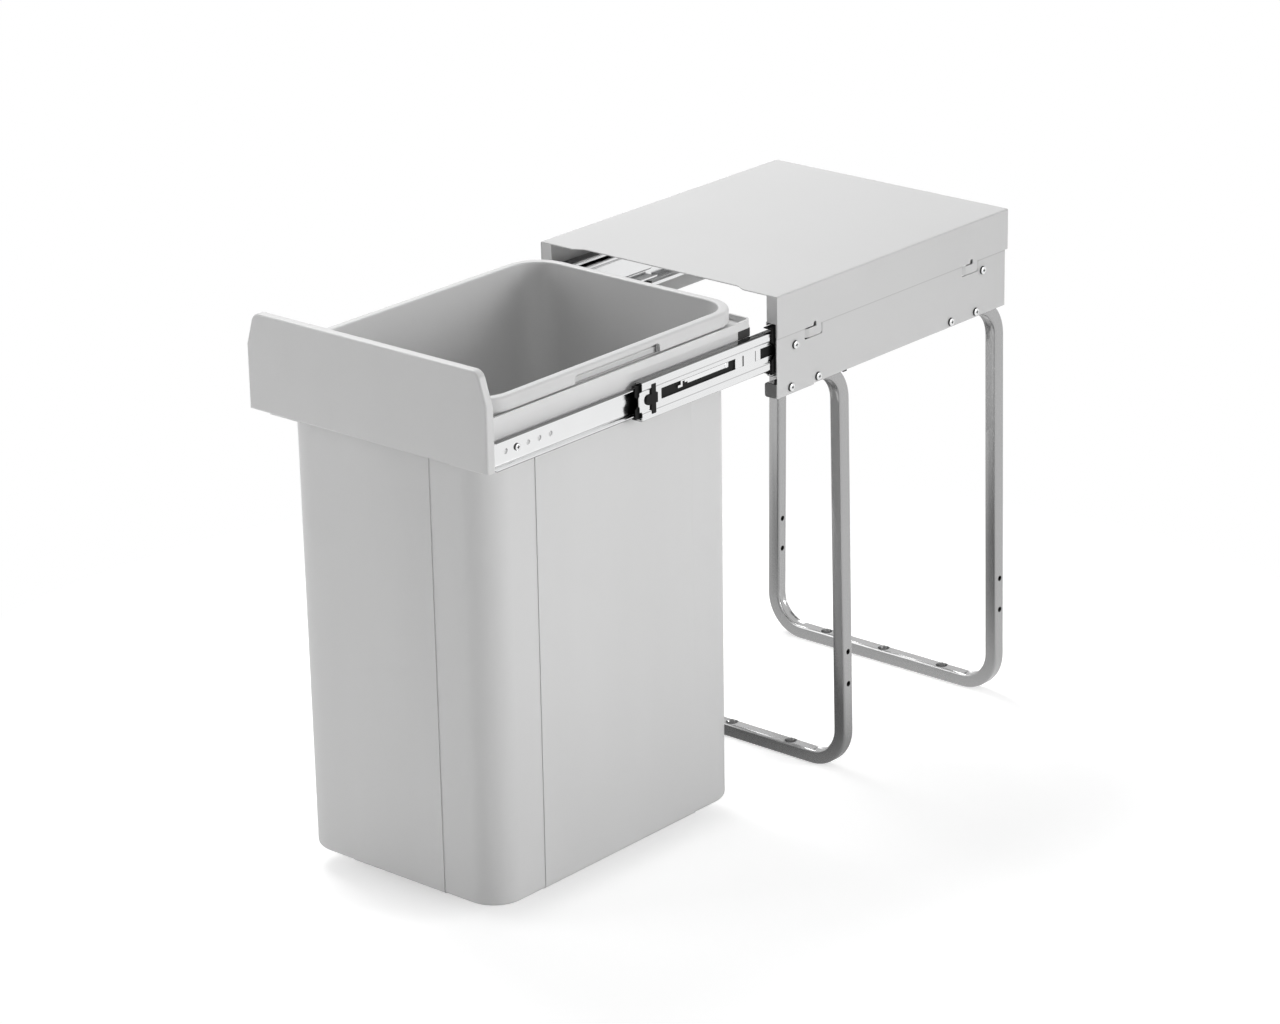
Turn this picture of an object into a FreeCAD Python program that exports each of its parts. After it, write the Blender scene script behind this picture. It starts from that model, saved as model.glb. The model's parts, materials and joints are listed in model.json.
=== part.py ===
"""Pull-out waste bin for a kitchen base cabinet, drawn with the tray fully pulled out.

Millimetres. X runs across the cabinet, Y points to the cabinet's back and Z up. The origin is on the
cabinet floor, at the centre of the rectangle of floor screws.
"""
import FreeCAD, Part
import math
import os

V = FreeCAD.Vector

# Housing: a folded cover that hooks over two side panels
cover_width = 253.0
cover_top = 443.0
cover_sheet = 1.0
cover_flange = 35.5
cover_bend = 1.6
cover_edge_recess = 5.0
cover_recess_half = 82.0
cover_recess_ramp = 9.0
panel_sheet = 1.0
panel_bend = 1.2
panel_below_leg_screws = 4.5
panel_step = 1.3
panel_step_from_front = 48.0
panel_rear_inset = 3.5
panel_front_inset = 0.4
panel_top_return = 7.0
panel_front_return = 9.3
panel_front_return_height = 22.5

# Bayonet hooks that hang the cover on slots in the side panels
hook_from_front = 36.0
hook_from_rear = 43.5
hook_length = 21.0
hook_height = 7.6
hook_gap = 1.1
hook_neck = 6.8
hook_notch_width = 3.6
hook_notch_height = 4.2
hook_corner = 2.6
hook_tip = 3.0
hook_joggle = 4.0
hook_slot_margin = 1.2
hook_slot_corner = 1.5
hook_notch_round = 1.6
hook_side_clearance = 0.2
hook_window_margin = 1.2
cover_release_travel = 3.6

# Full-extension ball slides, one on each side
slide_rear_room = 10.0
slide_overtravel = 26.0
slide_thickness = 12.7
slide_drop = 46.0
slide_setback = 2.0
slide_gauge = 1.2
slide_end_stop = 5.0
slide_end_gap = 1.0
outer_height = 46.0
outer_depth = 11.5
outer_lip = 3.6
middle_height = 32.0
middle_cage_gap = 0.4
middle_flange_end = 10.9
middle_lip = 2.2
middle_band = 6.6
middle_joggle = 1.0
inner_height = 23.0
inner_flange_clearance = 0.4
bend_radius = 1.3
middle_bend_radius = 0.7
inner_bend_radius = 2.4
outer_cage_length = 130.0
inner_cage_length = 180.0
outer_cage_overhang = 5.0
inner_cage_overhang = 5.2
cage_wall = 0.7
cage_flange_wall = 0.9
cage_clearance = 0.3
inner_cage_clearance = 0.5
cage_end_clearance = 0.5
cage_scallop_radius = 0.45
cage_scallop_offset = 0.18
ball_clearance = 0.4
ball_pocket_play = 0.1
outer_ball_pitch = 13.0
outer_ball_first = 13.0
inner_ball_share = 0.74
inner_ball_pitch = 9.0
inner_ball_first = 15.5
inner_ball_clearance = 0.35
outer_ball_inset = 6.3
inner_ball_inset = 7.9

# Openings and inserts in the web of the middle member, measured from its front end
nose_length = 2.0
nose_half = 8.0
catch_slot_start = 24.0
catch_slot_length = 91.0
catch_slot_top = 5.4
catch_slot_bottom = 3.4
catch_slot_corner = 0.8
catch_rear_gap = 9.0
catch_length = 50.0
catch_height = 4.0
catch_lug_length = 3.5
catch_lug_height = 2.6
catch_bridge_height = 1.0
catch_hook_reach = 8.2
catch_hook_width = 2.0
catch_hook_drop = 5.3
catch_toe_length = 3.4
catch_toe_height = 2.0
catch_clearance = 0.3
catch_sheet = 1.0
catch_pivot_radius = 1.3
catch_pivot_play = 0.05
catch_head_rim = 0.9
catch_head_height = 0.4
slit_width = 1.1
slit_positions = (124.0, 139.5)
web_pad_depth = 0.35
window_start = 146.5
window_length = 26.0
insert_start = 4.6
insert_length = 14.0
insert_half = 4.1
insert_bar_start = 11.0
insert_bar_width = 5.4
insert_bar_half = 12.2
insert_bar_corner = 0.8
insert_proud = 0.3
insert_back_clearance = 0.3
insert_fit = 0.1

# Screw holes in the drawer member, measured from its front end
drawer_hole_first = 15.5
drawer_hole_pitch = 12.7
drawer_hole_count = 5
drawer_hole_radius = 2.2
drawer_rear_hole = 262.0

# Leg frames bent from flat-sided tube; their uprights stand a little apart at the floor
leg_pitch = 214.0
leg_first = 89.5
leg_rear_inset = 8.5
tube_depth = 12.0
tube_width = 12.0
tube_wall = 1.2
tube_corner = 2.0
tube_inner_corner = 0.4
top_bend_inside = 24.5
foot_bend_inside = 25.0
leg_splay_degrees = 0.7
leg_seat_gap = 0.05
leg_run_end = 1.6
leg_run_slide_gap = 5.5
floor_hole_spacing = 130.0
floor_hole_radius = 2.25
dimple_top_radius = 5.2
dimple_bottom_radius = 3.4
dimple_wall = 1.0
wall_hole_height = 80.5
wall_hole_spacing = 29.0
wall_hole_radius = 2.4
plug_flange = 1.2
plug_stem = 9.0
plug_play = 0.1

# Screws
screw_head_radius = 3.6
screw_head_height = 2.1
screw_shank_radius = 2.0
screw_play = 0.05
leg_screw_length = 7.0
leg_screw_back = (36.5, 71.4)
slide_screw_before_hook = 12.4
slide_screw_behind_hook = 0.6
small_head_radius = 3.0
small_head_height = 1.6
small_shank_radius = 1.6
small_shank_length = 8.0
small_head_clearance = 0.5
tray_screw_end_gap = 0.3
head_round = 0.6
recess_length = 2.8
recess_width = 0.8
recess_depth = 1.1

# Tray that carries the bin, with the front panel
tray_gap = 9.0
tray_wall = 3.5
tray_rear_room = 2.5
tray_return_clearance = 0.7
tray_ledge_wall = 2.0
tray_ledge_floor = 2.0
tray_ledge_top = 15.5
tray_slide_clearance = 0.5
tray_lip_wall = 2.0
tray_side_bottom = 57.0
tray_front_bottom = 50.0
tray_rear_bottom = 45.0
tray_corner = 6.0
pad_length = 14.0
pad_height = 7.0
pad_sheet = 0.7
pad_drop = 1.0
front_thickness = 8.0
front_side_inset = 0.5
front_top = 27.0
front_bottom = 53.0
front_shoulder = 0.5
front_taper = 8.0
front_corner = 9.0
front_edge_radius = 1.8
front_back_radius = 1.1
front_wall = 2.5
front_boss_radius = 4.0
front_screw_from_side = 21.8
front_screw_room = 0.4
front_screw_drop = 36.0

# Bin
bin_clearance = 1.3
bin_wall = 2.0
bin_rim_front_gap = 2.2
bin_rim_rear_gap = 6.0
bin_rim_skirt_clearance = 0.5
bin_rim_drop = 3.0
bin_rim_ledge_gap = 1.0
bin_rim_plate = 2.2
bin_rim_corner = 32.0
bin_rim_round = 2.6
bin_rim_inner_round = 1.4
bin_body_corner = 28.0
bin_draft_degrees = 0.12
bin_floor_gap = 17.0
bin_bottom_round = 4.0
bin_inner_round = 5.0
bin_panel_proud = 0.8
bin_panel_half_front = 50.0
bin_panel_half_side = 92.0
bin_panel_below_rim = 6.0
grip_length = 100.0
grip_top_margin = 4.2
grip_corner = 3.5

# Rubber clips on the lower and the front edge of the side panels
clip_from_front = 88.7
clip_length = 4.4
clip_height = 3.4
clip_wall = 0.55
clip_drop = 1.2
clip_nose = 2.0
clip_below_slide = 2.8

# How far a cutting block reaches past what it cuts
cut_past = 1.0
far_past = 50.0

# Places that follow from the sizes above
cover_depth = leg_first + leg_pitch + leg_rear_inset
front_y = -(leg_first + leg_pitch / 2)
rear_y = front_y + cover_depth
leg_y = (-leg_pitch / 2, leg_pitch / 2)
cover_half = cover_width / 2
panel_outside = cover_half - cover_sheet
panel_inside = panel_outside - panel_sheet
panel_front = front_y + panel_front_inset
panel_rear = rear_y - panel_rear_inset
cover_underside = cover_top - cover_sheet
flange_bottom = cover_top - cover_flange
return_inside = panel_inside - panel_front_return
slide_z = cover_top - slide_drop
slide_bottom = slide_z - outer_height / 2
run_z = slide_bottom - leg_run_slide_gap - tube_depth / 2
panel_bottom = run_z - panel_below_leg_screws
leg_splay = math.radians(leg_splay_degrees)
leg_top_x = panel_inside - leg_seat_gap - tube_width / 2
slide_front = front_y + slide_setback
slide_length = cover_depth - slide_setback - slide_rear_room
tray_travel = slide_length + slide_overtravel
moving_length = slide_length - slide_end_stop - slide_end_gap
middle_front = slide_front - tray_travel / 2
drawer_front = slide_front - tray_travel
half_gauge = slide_gauge / 2
middle_standoff = slide_gauge + cage_clearance + cage_wall + middle_cage_gap
middle_web = middle_standoff + middle_joggle
inner_cage_standoff = middle_web + slide_gauge + inner_cage_clearance
insert_depth = inner_cage_standoff - insert_back_clearance - middle_standoff + insert_proud
catch_inset = middle_web + (slide_gauge - catch_sheet) / 2
outer_inner_w = outer_height / 2 - slide_gauge
middle_outer_w = middle_height / 2
middle_inner_w = middle_height / 2 - slide_gauge
inner_outer_w = inner_height / 2
outer_ball_w = (outer_inner_w + middle_outer_w) / 2
outer_ball_radius = (outer_inner_w - middle_outer_w) / 2 - ball_clearance
inner_ball_w = (middle_inner_w + inner_outer_w) / 2
inner_ball_radius = (middle_inner_w - inner_outer_w) / 2 - inner_ball_clearance
tray_side = panel_inside - slide_thickness
tray_inner = tray_side - tray_wall
tray_ledge_outside = return_inside - tray_return_clearance
panel_back = front_y - tray_gap - tray_travel
panel_face = panel_back - front_thickness
tray_rear = rear_y - cover_sheet - tray_rear_room - tray_travel
ledge_bottom = slide_z + outer_height / 2 + tray_slide_clearance
ledge_top = cover_top - tray_ledge_top
rim_top = cover_top - bin_rim_drop
rim_underside = rim_top - bin_rim_plate
rim_bottom = ledge_top + bin_rim_ledge_gap
rim_rear = tray_rear - bin_rim_rear_gap
rim_front = panel_back + bin_rim_front_gap
rim_centre = (rim_rear + rim_front) / 2
bin_rim_overhang = bin_clearance + tray_lip_wall + bin_rim_skirt_clearance + bin_wall
body_half_top = tray_inner - bin_clearance
bin_rim_half_width = body_half_top + bin_rim_overhang
body_front_top = rim_front + bin_rim_overhang
body_rear_top = rim_rear - bin_rim_overhang
bin_bottom = bin_floor_gap
bin_slope = math.tan(math.radians(bin_draft_degrees))
front_half_width = cover_half - front_side_inset
front_screw_x = ((tray_side - front_screw_from_side) / 3, tray_side - front_screw_from_side)
front_screw_z = cover_top - front_screw_drop


def box(x0, x1, y0, y1, z0, z1):
    """A box between two corners."""
    return Part.makeBox(x1 - x0, y1 - y0, z1 - z0, V(x0, y0, z0))


def mirrored(shape):
    """The same shape on the other side of the plane X = 0."""
    return shape.mirror(V(0, 0, 0), V(1, 0, 0))


def wire_of(points):
    """A closed wire through 3-D points."""
    return Part.makePolygon(list(points) + [points[0]])


def rounded_wire(x0, x1, y0, y1, radius, z):
    """A rectangle with rounded corners, flat at height z."""
    edges = []
    middle = math.sqrt(0.5) * radius
    corners = (
        (x1 - radius, y0 + radius, 1, -1, 0, -1, 1, 0),
        (x1 - radius, y1 - radius, 1, 1, 1, 0, 0, 1),
        (x0 + radius, y1 - radius, -1, 1, 0, 1, -1, 0),
        (x0 + radius, y0 + radius, -1, -1, -1, 0, 0, -1),
    )
    arcs = []
    for cx, cy, mx, my, ax, ay, bx, by in corners:
        start = V(cx + ax * radius, cy + ay * radius, z)
        centre = V(cx + mx * middle, cy + my * middle, z)
        end = V(cx + bx * radius, cy + by * radius, z)
        arcs.append((start, centre, end))
    for i, (start, centre, end) in enumerate(arcs):
        edges.append(Part.Arc(start, centre, end).toShape())
        edges.append(Part.LineSegment(end, arcs[(i + 1) % 4][0]).toShape())
    return Part.Wire(edges)


def rounded_block(x0, x1, y0, y1, radius, z0, z1):
    """A straight block whose plan is a rounded rectangle."""
    return Part.Face(rounded_wire(x0, x1, y0, y1, radius, z0)).extrude(V(0, 0, z1 - z0))


def turned(points, radius, index):
    """Where a bend of this radius starts and ends at a corner of a path, its centre and its turn."""
    before, corner, after = points[index - 1], points[index], points[index + 1]
    d1 = (corner - before).normalize()
    d2 = (after - corner).normalize()
    turn = math.copysign(math.acos(max(-1, min(1, d1.dot(d2)))), d1.x * d2.y - d1.y * d2.x)
    reach = radius * math.tan(abs(turn) / 2)
    start = corner - d1 * reach
    left = V(-d1.y, d1.x, 0)
    centre = start + left * math.copysign(radius, turn)
    return start, corner + d2 * reach, centre, turn


def offset_side(points, radius, shift):
    """One side of a bent strip, as lines and arcs at a distance left of its middle line."""
    d = (points[1] - points[0]).normalize()
    place = points[0] + V(-d.y, d.x, 0) * shift
    edges = []
    for i in range(1, len(points) - 1):
        start, end, centre, turn = turned(points, radius, i)
        factor = (radius - shift * math.copysign(1, turn)) / radius
        a = centre + (start - centre) * factor
        b = centre + (end - centre) * factor
        corner_way = (points[i] - centre).normalize()
        m = centre + corner_way * radius * factor
        edges.append(Part.LineSegment(place, a).toShape())
        edges.append(Part.Arc(a, m, b).toShape())
        place = b
    d = (points[-1] - points[-2]).normalize()
    edges.append(Part.LineSegment(place, points[-1] + V(-d.y, d.x, 0) * shift).toShape())
    return edges


def bent_strip(path, radius, thickness, y0, y1):
    """A folded sheet profile on the right side of the tray, run from y0 to y1.

    path lists (inset, height): inset is measured inwards from the side panel, height from the slide's middle.
    """
    points = [V(a, b, 0) for a, b in path]
    left = offset_side(points, radius, thickness / 2)
    right = offset_side(points, radius, -thickness / 2)
    ends = [
        Part.LineSegment(left[-1].Vertexes[-1].Point, right[-1].Vertexes[-1].Point).toShape(),
        Part.LineSegment(right[0].Vertexes[0].Point, left[0].Vertexes[0].Point).toShape(),
    ]
    face = Part.Face(Part.Wire(Part.__sortEdges__(left + right + ends)))
    placed = FreeCAD.Matrix(-1, 0, 0, panel_inside, 0, 0, 1, y0, 0, 1, 0, slide_z, 0, 0, 0, 1)
    return face.transformGeometry(placed).extrude(V(0, y1 - y0, 0))


def inset_box(inset0, inset1, y0, y1, low, high):
    """A box on the right side, by its insets from the side panel and heights from the slide's middle."""
    return box(panel_inside - inset1, panel_inside - inset0, y0, y1, slide_z + low, slide_z + high)


def filleted(shape, radius, wanted):
    """Rounds the edges for which wanted(edge) is true."""
    edges = [e for e in shape.Edges if wanted(e)]
    return shape.makeFillet(radius, edges)


def along(edge, axis):
    """Whether an edge is straight and runs along a row axis."""
    a, b = edge.Vertexes[0].Point, edge.Vertexes[-1].Point
    d = b - a
    rest = [abs(v) for i, v in enumerate((d.x, d.y, d.z)) if i != axis]
    return isinstance(edge.Curve, Part.Line) and max(rest) < 1e-6


# Cover


def hook_starts():
    """The front ends of the hooks' visible arms."""
    return (front_y + hook_from_front, rear_y - hook_from_rear - hook_length)


def hook(y0):
    """One hook of the right flange: a neck, an arm on the panel's face and a tip tucked behind the panel."""
    top = flange_bottom - hook_gap
    low = top - hook_height
    rear = y0 + hook_length
    neck = box(panel_outside, cover_half, rear - hook_neck, rear, low, flange_bottom)
    inner = panel_inside - hook_side_clearance - cover_sheet
    bend = y0 + hook_joggle
    plan = [
        (cover_half, rear),
        (cover_half, bend),
        (inner + cover_sheet, y0),
        (inner + cover_sheet, y0 - hook_tip),
        (inner, y0 - hook_tip),
        (inner, y0 + cover_sheet / 2),
        (panel_outside, bend + cover_sheet / 2),
        (panel_outside, rear),
    ]
    arm = Part.Face(wire_of([V(x, y, low) for x, y in plan])).extrude(V(0, 0, hook_height))
    whole = neck.fuse(arm).removeSplitter()
    low_rear = lambda e: along(e, 0) and abs(e.Vertexes[0].Y - rear) < 1e-6 and e.Vertexes[0].Z < low + 1e-6
    return filleted(whole, hook_corner, low_rear)


def cover():
    """Top plate with a shallow recess in its front edge, side flanges and a rear flange."""
    full = cover_recess_half + cover_recess_ramp
    recessed = front_y + cover_edge_recess
    plan = [
        (-cover_half, front_y),
        (-full, front_y),
        (-cover_recess_half, recessed),
        (cover_recess_half, recessed),
        (full, front_y),
        (cover_half, front_y),
        (cover_half, rear_y),
        (-cover_half, rear_y),
    ]
    blank = Part.Face(wire_of([V(x, y, flange_bottom) for x, y in plan])).extrude(V(0, 0, cover_flange))
    near_ramp = lambda e: along(e, 2) and abs(abs(e.Vertexes[0].X) - full) < 1e-6
    near_floor = lambda e: along(e, 2) and abs(abs(e.Vertexes[0].X) - cover_recess_half) < 1e-6
    blank = filleted(blank, cover_recess_ramp * 0.9, lambda e: near_ramp(e) or near_floor(e))
    at_top = lambda e: e.Vertexes[0].Z > cover_top - 1e-6
    side_top = lambda e: along(e, 1) and at_top(e) and abs(abs(e.Vertexes[0].X) - cover_half) < 1e-6
    rear_top = lambda e: along(e, 0) and at_top(e) and abs(e.Vertexes[0].Y - rear_y) < 1e-6
    rear_side = lambda e: along(e, 2) and abs(e.Vertexes[0].Y - rear_y) < 1e-6
    blank = filleted(blank, cover_bend, lambda e: side_top(e) or rear_top(e) or rear_side(e))
    inside = box(
        -panel_outside, panel_outside, front_y - far_past, rear_y - cover_sheet,
        flange_bottom - far_past, cover_underside,
    )
    hollow_edges = lambda e: along(e, 1) and abs(e.Vertexes[0].Z - cover_underside) < 1e-6
    inside = filleted(inside, cover_bend - cover_sheet, hollow_edges)
    shape = blank.cut(inside)
    for y0 in hook_starts():
        rear = y0 + hook_length
        notch_rear = rear - hook_neck
        notch = box(
            panel_outside - cut_past, cover_half + cut_past, notch_rear - hook_notch_width, notch_rear,
            flange_bottom - cut_past, flange_bottom + hook_notch_height - hook_gap,
        )
        round_top = lambda e: along(e, 0) and e.Vertexes[0].Z > flange_bottom + 1e-6
        notch = filleted(notch, hook_notch_round, round_top)
        one = hook(y0)
        for side in (lambda s: s, mirrored):
            shape = shape.cut(side(notch)).fuse(side(one))
    return shape.removeSplitter()


# Side panels


def screw_hole(y, z, radius, x0, x1):
    """A round hole across X on the right side."""
    return Part.makeCylinder(radius, x1 - x0, V(x0, y, z), V(1, 0, 0))


def leg_screw_places():
    """Depth and height of the screws that hold the legs' upper runs."""
    return [(y - back, run_z) for y in leg_y for back in leg_screw_back]


def slide_screw_places():
    """Depth and height of the screws that hold the slides: ahead of the front hook and behind the rear one."""
    front_hook, rear_hook = hook_starts()
    behind = rear_hook + hook_length + cover_release_travel + screw_head_radius + slide_screw_behind_hook
    return [(front_hook - slide_screw_before_hook, slide_z), (behind, slide_z)]


def side_panel():
    """The right panel: a sheet with a top return, a short front return, hook slots and screw holes."""
    step_y = front_y + panel_step_from_front
    plate = box(panel_inside, panel_outside, panel_front, panel_rear, panel_bottom, cover_underside)
    step_low = panel_bottom - panel_step
    plate = plate.fuse(box(panel_inside, panel_outside, panel_front, step_y, step_low, panel_bottom + cut_past))
    top_inside = panel_inside - panel_top_return
    top_low = cover_underside - panel_sheet
    plate = plate.fuse(box(top_inside, panel_outside, panel_front, panel_rear, top_low, cover_underside))
    front_z = cover_underside - panel_front_return_height
    return_rear = panel_front + panel_sheet
    plate = plate.fuse(box(return_inside, panel_outside, panel_front, return_rear, front_z, cover_underside))
    plate = plate.removeSplitter()
    outer_top = lambda e: along(e, 1) and min(v.Z for v in e.Vertexes) > cover_underside - 1e-6
    plate = filleted(plate, panel_bend, lambda e: outer_top(e) and e.Vertexes[0].X > panel_outside - 1e-6)
    for y0 in hook_starts():
        low = flange_bottom - hook_gap - hook_height - hook_slot_margin
        high = flange_bottom + hook_notch_height
        end = y0 + hook_length + cover_release_travel / 2
        slot = box(panel_inside - cut_past, panel_outside + cut_past, y0, end, low, high)
        plate = plate.cut(filleted(slot, hook_slot_corner, lambda e: along(e, 0)))
    hole_radius = screw_shank_radius + screw_play
    for y, z in leg_screw_places() + slide_screw_places():
        plate = plate.cut(screw_hole(y, z, hole_radius, panel_inside - cut_past, panel_outside + cut_past))
    return plate


def edge_clip():
    """A small rubber clip inside the panel that laps its lower edge."""
    y0 = front_y + clip_from_front - clip_length / 2
    low = panel_bottom - clip_drop
    body = box(panel_inside - clip_wall, panel_outside, y0, y0 + clip_length, low, low + clip_height)
    return body.cut(box(panel_inside, panel_outside, y0, y0 + clip_length, panel_bottom, low + clip_height))


def front_clip():
    """A like clip inside the panel, just under the slide, whose nose stands past the panel's front edge."""
    z0 = slide_bottom - clip_below_slide - clip_length / 2
    rear = panel_front - clip_nose + clip_height
    body = box(panel_inside - clip_wall, panel_outside, panel_front - clip_nose, rear, z0, z0 + clip_length)
    nose = lambda e: along(e, 0) and abs(e.Vertexes[0].Y - (panel_front - clip_nose)) < 1e-6
    body = filleted(body, clip_nose / 2, nose)
    return body.cut(box(panel_inside, panel_outside, panel_front, rear, z0, z0 + clip_length))


# Leg frames


def tube_outline(grow):
    """Half sizes and corner radius of the tube, smaller by grow on every side."""
    return tube_width / 2 - grow, tube_depth / 2 - grow, max(tube_corner - grow, tube_inner_corner)


def leg_x(z):
    """Distance from the middle plane to the middle line of an upright at a height."""
    return leg_top_x + (run_z - z) * math.tan(leg_splay)


def leg_solid(y, grow):
    """The path of one leg frame filled out to the tube's section, smaller by grow on every side."""
    a, b, r = tube_outline(grow)
    foot_z = tube_width / 2
    foot_r = foot_bend_inside + tube_width / 2
    top_r = top_bend_inside + tube_depth / 2
    sine, cosine = math.sin(leg_splay), math.cos(leg_splay)
    length = (run_z - foot_z - foot_r * (1 + sine)) / cosine - top_r
    flat_half = leg_top_x - foot_r * cosine + (length + top_r) * sine
    floor = Part.Face(rounded_wire(-b, b, -a, a, r, 0))
    floor.rotate(V(0, 0, 0), V(0, 1, 0), 90)
    floor.rotate(V(0, 0, 0), V(1, 0, 0), 90)
    floor.translate(V(-flat_half, y, foot_z))
    pieces = [floor.extrude(V(2 * flat_half, 0, 0))]
    for side in (-1, 1):
        section = floor.translated(V((1 + side) * flat_half, 0, 0))
        centre = V(side * flat_half, y, foot_z + foot_r)
        turn = 90 + leg_splay_degrees
        pieces.append(section.revolve(centre, V(0, -side, 0), turn))
        section.rotate(centre, V(0, -side, 0), turn)
        rise = V(-side * sine, 0, cosine) * length
        pieces.append(section.extrude(rise))
        section.translate(rise)
        top = V(side * (flat_half + foot_r * cosine), y - top_r, foot_z + foot_r * (1 + sine)) + rise
        elbow_axis = V(cosine, 0, side * sine)
        pieces.append(section.revolve(top, elbow_axis, 90))
        section.rotate(top, elbow_axis, 90)
        pieces.append(section.extrude(V(0, leg_run_front(y) - y + top_r, 0)))
    whole = pieces[0]
    for piece in pieces[1:]:
        whole = whole.fuse(piece)
    return whole


def leg_run_front(y):
    """The front end of a leg's upper run; both frames are alike."""
    return y - leg_first + leg_run_end


def leg_frame(y):
    """One bent tube with dimpled floor holes, cross holes in the uprights and screw holes in the upper runs."""
    tube = leg_solid(y, 0).cut(leg_solid(y, tube_wall))
    height = tube_width
    deep = height - tube_wall
    half = (tube_depth - tube_wall) / 2
    reach = dimple_top_radius + 2 * dimple_wall
    for x in (-floor_hole_spacing / 2, 0, floor_hole_spacing / 2):
        foot = V(x, y, tube_wall)
        cup = Part.makeCone(dimple_bottom_radius + dimple_wall, dimple_top_radius + dimple_wall, deep, foot)
        inner = Part.makeCone(dimple_bottom_radius, dimple_top_radius, deep, foot)
        bound = box(x - reach, x + reach, y - half, y + half, 0, height)
        tube = tube.fuse(cup.common(bound)).cut(inner)
        tube = tube.cut(Part.makeCylinder(floor_hole_radius, height, V(x, y, -cut_past)))
    for side in (-1, 1):
        for z in (wall_hole_height, wall_hole_height + wall_hole_spacing):
            start = V(side * leg_x(z) - tube_width / 2 - cut_past, y, z)
            tube = tube.cut(Part.makeCylinder(wall_hole_radius, tube_width + 2 * cut_past, start, V(1, 0, 0)))
        for back in leg_screw_back:
            start = V(side * leg_top_x, y - back, run_z)
            way = V(side, 0, 0)
            hole = Part.makeCylinder(screw_shank_radius + screw_play, tube_width / 2 + cut_past, start, way)
            tube = tube.cut(hole)
    return tube


def end_plugs():
    """Plastic plugs in the four open tube ends."""
    a, b, r = tube_outline(0)
    ai, bi, ri = tube_outline(tube_wall + plug_play)
    plugs = []
    for y in leg_y:
        for side in (-1, 1):
            end = leg_run_front(y)
            flange = Part.Face(rounded_wire(-a, a, -b, b, r, 0)).extrude(V(0, 0, plug_flange))
            stem = Part.Face(rounded_wire(-ai, ai, -bi, bi, ri, 0)).extrude(V(0, 0, -plug_stem))
            plug = flange.fuse(stem)
            plug.rotate(V(0, 0, 0), V(1, 0, 0), 90)
            plug.rotate(V(0, 0, 0), V(0, 1, 0), -side * leg_splay_degrees)
            plug.translate(V(side * leg_top_x, end, run_z))
            plugs.append(plug)
    return Part.makeCompound(plugs)


# Ball slides, drawn on the right side


def outer_member():
    """The channel screwed to the side panel."""
    w = outer_height / 2 - half_gauge
    edge = outer_depth - half_gauge
    tip = outer_height / 2 - outer_lip
    path = [(edge, tip), (edge, w), (half_gauge, w), (half_gauge, -w), (edge, -w), (edge, -tip)]
    shape = bent_strip(path, bend_radius, slide_gauge, slide_front, slide_front + slide_length)
    for y, z in slide_screw_places():
        start = panel_inside - slide_gauge - cut_past
        shape = shape.cut(screw_hole(y, z, screw_shank_radius + screw_play, start, panel_inside + cut_past))
    for y0 in hook_starts():
        high = flange_bottom - hook_gap + hook_window_margin
        low = high - hook_height - 2 * hook_window_margin
        start = y0 - hook_tip - hook_window_margin
        end = y0 + cover_release_travel + hook_joggle
        inner = panel_inside - slide_gauge - cut_past
        shape = shape.cut(box(inner, panel_inside + cut_past, start, end, low, high))
    return shape


def outer_end_stop():
    """A plastic buffer in the rear end of the outer member."""
    rear = slide_front + slide_length
    edge = outer_depth - slide_gauge - cage_clearance
    half = outer_inner_w - outer_lip
    block = inset_box(slide_gauge, edge, rear - slide_end_stop, rear, -half, half)
    return filleted(block, bend_radius, lambda e: along(e, 1))


def middle_path():
    """The middle member's section: a flange with a lip at each edge, two bands and a set-back web."""
    w = middle_height / 2 - half_gauge
    band = middle_standoff + half_gauge
    web = band + middle_joggle
    lip_w = middle_height / 2 - middle_lip
    edge = middle_flange_end - half_gauge
    joggle_w = w + half_gauge - middle_band
    top = [(edge, lip_w), (edge, w), (band, w), (band, joggle_w), (web, joggle_w - middle_joggle)]
    return top + [(a, -b) for a, b in reversed(top)]


def web_cut(start, length, low, high):
    """A through cut in the middle member's web."""
    y0 = middle_front + start
    return inset_box(middle_web - cut_past, middle_web + slide_gauge + cut_past, y0, y0 + length, low, high)


def insert_solid(grow):
    """The outline of the plastic insert at the middle member's front end, larger by grow."""
    deep0 = middle_standoff - insert_proud
    deep1 = middle_standoff + insert_depth - insert_proud
    y0 = middle_front + insert_start
    half = insert_half + grow
    body = inset_box(deep0, deep1, y0 - grow, y0 + insert_length + grow, -half, half)
    round_front = lambda e: along(e, 0) and abs(e.Vertexes[0].Y - (y0 - grow)) < 1e-6
    body = filleted(body, insert_half * 0.9, round_front)
    b0 = middle_front + insert_bar_start
    bar_half = insert_bar_half + grow
    bar = inset_box(deep0, deep1, b0 - grow, b0 + insert_bar_width + grow, -bar_half, bar_half)
    bar = filleted(bar, insert_bar_corner, lambda e: along(e, 0))
    return body.fuse(bar).removeSplitter()


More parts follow.
